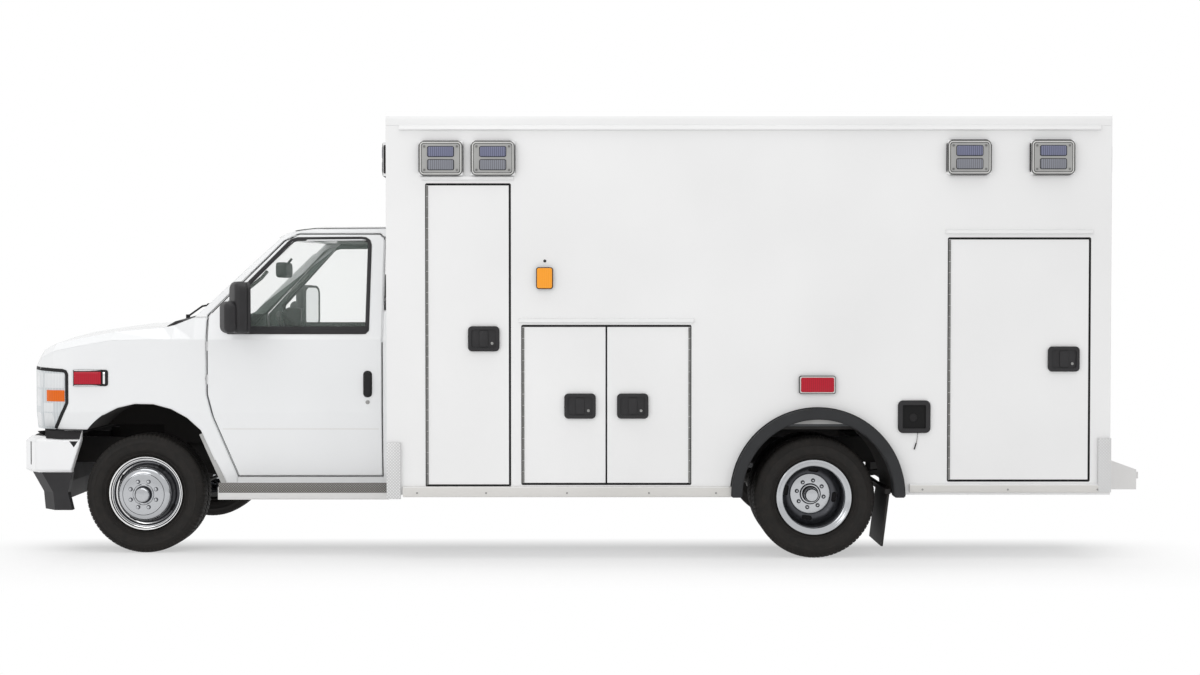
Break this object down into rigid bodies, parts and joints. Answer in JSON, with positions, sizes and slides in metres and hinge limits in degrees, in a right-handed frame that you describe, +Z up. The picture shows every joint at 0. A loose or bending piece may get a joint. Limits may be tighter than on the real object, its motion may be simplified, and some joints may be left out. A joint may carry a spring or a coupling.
{
  "type": "ambulance",
  "caption": "Ambulance with a white box body on a van cutaway chassis, twin rear wheels, lockers along its sides, a kerb-side entry door and double rear doors.",
  "frame": {"origin": "on the ground, midway along the length and across the width", "axes": "+X to the rear, +Y to the kerb side, +Z up"},
  "size_m": [6.805, 2.59, 2.638],
  "materials": {
    "white_paint": "gloss",
    "black_plastic": "satin",
    "black_steel": "matt",
    "bright_metal": "polished",
    "bare_aluminium": "bright, with a raised tread",
    "tyre_rubber": "matt",
    "clear_glass": "clear",
    "lamp_lens": "clear lens over grey reflectors",
    "grey_trim": "grained",
    "seat_cloth": "woven"
  },
  "bodies": {
    "vehicle": {"bumper_valance": "black_plastic", "cab_shell": "white_paint", "chassis_frame": "black_steel", "dashboard": "grey_trim", "engine": "black_steel", "exhaust": "black_steel", "front_axle": "black_steel", "front_bumper": "bright_metal", "front_clip": "white_paint", "fuel_tank": "black_plastic", "grille": "bright_metal", "headlamp_left": "lamp_lens", "headlamp_right": "lamp_lens", "module_floor": "grey_trim", "module_roof": "white_paint", "module_wall_front": "white_paint", "module_wall_left": "white_paint", "module_wall_rear": "white_paint", "module_wall_right": "white_paint", "rear_axle": "black_steel", "rear_step": "bare_aluminium", "running_board_left": "bare_aluminium", "running_board_right": "bare_aluminium", "seat_left": "seat_cloth", "seat_right": "seat_cloth", "windscreen": "clear_glass"},
    "steering_left": {"knuckle_left": "black_steel"},
    "steering_right": {"knuckle_right": "black_steel"},
    "tie_rod": {"tie_rod": "black_steel"},
    "wheel_front_left": {"wheel_front_left": "bright_metal", "tyre_front_left": "tyre_rubber"},
    "wheel_front_right": {"wheel_front_right": "bright_metal", "tyre_front_right": "tyre_rubber"},
    "wheel_rear_left": {"wheel_rear_left": "bright_metal", "tyre_rear_left_outer": "tyre_rubber", "tyre_rear_left_inner": "tyre_rubber"},
    "wheel_rear_right": {"wheel_rear_right": "bright_metal", "tyre_rear_right_outer": "tyre_rubber", "tyre_rear_right_inner": "tyre_rubber"},
    "hood": {"hood": "white_paint"},
    "cab_door_left": {"cab_door_left": "white_paint", "cab_glass_left": "clear_glass", "mirror_left": "black_plastic"},
    "cab_door_right": {"cab_door_right": "white_paint", "cab_glass_right": "clear_glass", "mirror_right": "black_plastic"},
    "locker_door_front": {"locker_door_front": "white_paint"},
    "locker_door_middle_front": {"locker_door_middle_front": "white_paint"},
    "locker_door_middle_rear": {"locker_door_middle_rear": "white_paint"},
    "locker_door_rear": {"locker_door_rear": "white_paint"},
    "locker_door_kerb_front": {"locker_door_kerb_front": "white_paint"},
    "entry_door": {"entry_door": "white_paint", "entry_glass": "clear_glass"},
    "locker_door_kerb_rear": {"locker_door_kerb_rear": "white_paint"},
    "rear_door_left": {"rear_door_left": "white_paint", "rear_glass_left": "clear_glass"},
    "rear_door_right": {"rear_door_right": "white_paint", "rear_glass_right": "clear_glass"}
  },
  "joints": [
    {"name": "steer_left", "type": "hinge", "parent": "vehicle", "child": "steering_left", "pos_m": [-2.5925, -0.83, 0.3589], "axis": [0, 0, 1], "range_deg": [-35, 35]},
    {"name": "steer_right", "type": "hinge", "parent": "vehicle", "child": "steering_right", "pos_m": [-2.5925, 0.83, 0.3589], "axis": [0, 0, 1], "range_deg": [-35, 35]},
    {"name": "tie_rod_pivot", "type": "hinge", "parent": "steering_left", "child": "tie_rod", "pos_m": [-2.4725, -0.83, 0.3084], "axis": [0, 0, 1], "range_deg": [-35, 35]},
    {"name": "spin_front_left", "type": "hinge", "parent": "steering_left", "child": "wheel_front_left", "pos_m": [-2.5925, -0.8815, 0.3589], "axis": [0, 1, 0], "continuous": true},
    {"name": "spin_front_right", "type": "hinge", "parent": "steering_right", "child": "wheel_front_right", "pos_m": [-2.5925, 0.8815, 0.3589], "axis": [0, 1, 0], "continuous": true},
    {"name": "spin_rear_left", "type": "hinge", "parent": "vehicle", "child": "wheel_rear_left", "pos_m": [1.4205, -0.961, 0.3589], "axis": [0, 1, 0], "continuous": true},
    {"name": "spin_rear_right", "type": "hinge", "parent": "vehicle", "child": "wheel_rear_right", "pos_m": [1.4205, 0.961, 0.3589], "axis": [0, 1, 0], "continuous": true},
    {"name": "hood_hinge", "type": "hinge", "parent": "vehicle", "child": "hood", "pos_m": [-2.51199, 0, 1.381], "axis": [0, 1, 0], "range_deg": [0, 28]},
    {"name": "cab_door_left_hinge", "type": "hinge", "parent": "vehicle", "child": "cab_door_left", "pos_m": [-2.21293, -1, 0.68], "axis": [0, 0, -1], "range_deg": [0, 65]},
    {"name": "cab_door_right_hinge", "type": "hinge", "parent": "vehicle", "child": "cab_door_right", "pos_m": [-2.21293, 1, 0.68], "axis": [0, 0, 1], "range_deg": [0, 65]},
    {"name": "locker_door_front_hinge", "type": "hinge", "parent": "vehicle", "child": "locker_door_front", "pos_m": [-0.86383, -1.22, 0.44106], "axis": [0, 0, -1], "range_deg": [0, 100]},
    {"name": "locker_door_middle_front_hinge", "type": "hinge", "parent": "vehicle", "child": "locker_door_middle_front", "pos_m": [-0.2997, -1.22, 0.45009], "axis": [0, 0, -1], "range_deg": [0, 100]},
    {"name": "locker_door_middle_rear_hinge", "type": "hinge", "parent": "vehicle", "child": "locker_door_middle_rear", "pos_m": [0.67951, -1.22, 0.45009], "axis": [0, 0, 1], "range_deg": [0, 100]},
    {"name": "locker_door_rear_hinge", "type": "hinge", "parent": "vehicle", "child": "locker_door_rear", "pos_m": [2.20796, -1.22, 0.46997], "axis": [0, 0, -1], "range_deg": [0, 100]},
    {"name": "locker_door_kerb_front_hinge", "type": "hinge", "parent": "vehicle", "child": "locker_door_kerb_front", "pos_m": [-0.86383, 1.22, 0.44106], "axis": [0, 0, 1], "range_deg": [0, 100]},
    {"name": "entry_door_hinge", "type": "hinge", "parent": "vehicle", "child": "entry_door", "pos_m": [-0.22508, 1.22, 0.44106], "axis": [0, 0, 1], "range_deg": [0, 100]},
    {"name": "locker_door_kerb_rear_hinge", "type": "hinge", "parent": "vehicle", "child": "locker_door_kerb_rear", "pos_m": [2.20796, 1.22, 0.46997], "axis": [0, 0, 1], "range_deg": [0, 100]},
    {"name": "rear_door_left_hinge", "type": "hinge", "parent": "vehicle", "child": "rear_door_left", "pos_m": [3.1585, -0.6337, 0.868], "axis": [0, 0, -1], "range_deg": [0, 150]},
    {"name": "rear_door_right_hinge", "type": "hinge", "parent": "vehicle", "child": "rear_door_right", "pos_m": [3.1585, 0.6337, 0.868], "axis": [0, 0, 1], "range_deg": [0, 150]}
  ],
  "couplings": [
    {"joint": "steer_right", "follows": "steer_left", "ratio": 1},
    {"joint": "tie_rod_pivot", "follows": "steer_left", "ratio": -1}
  ]
}
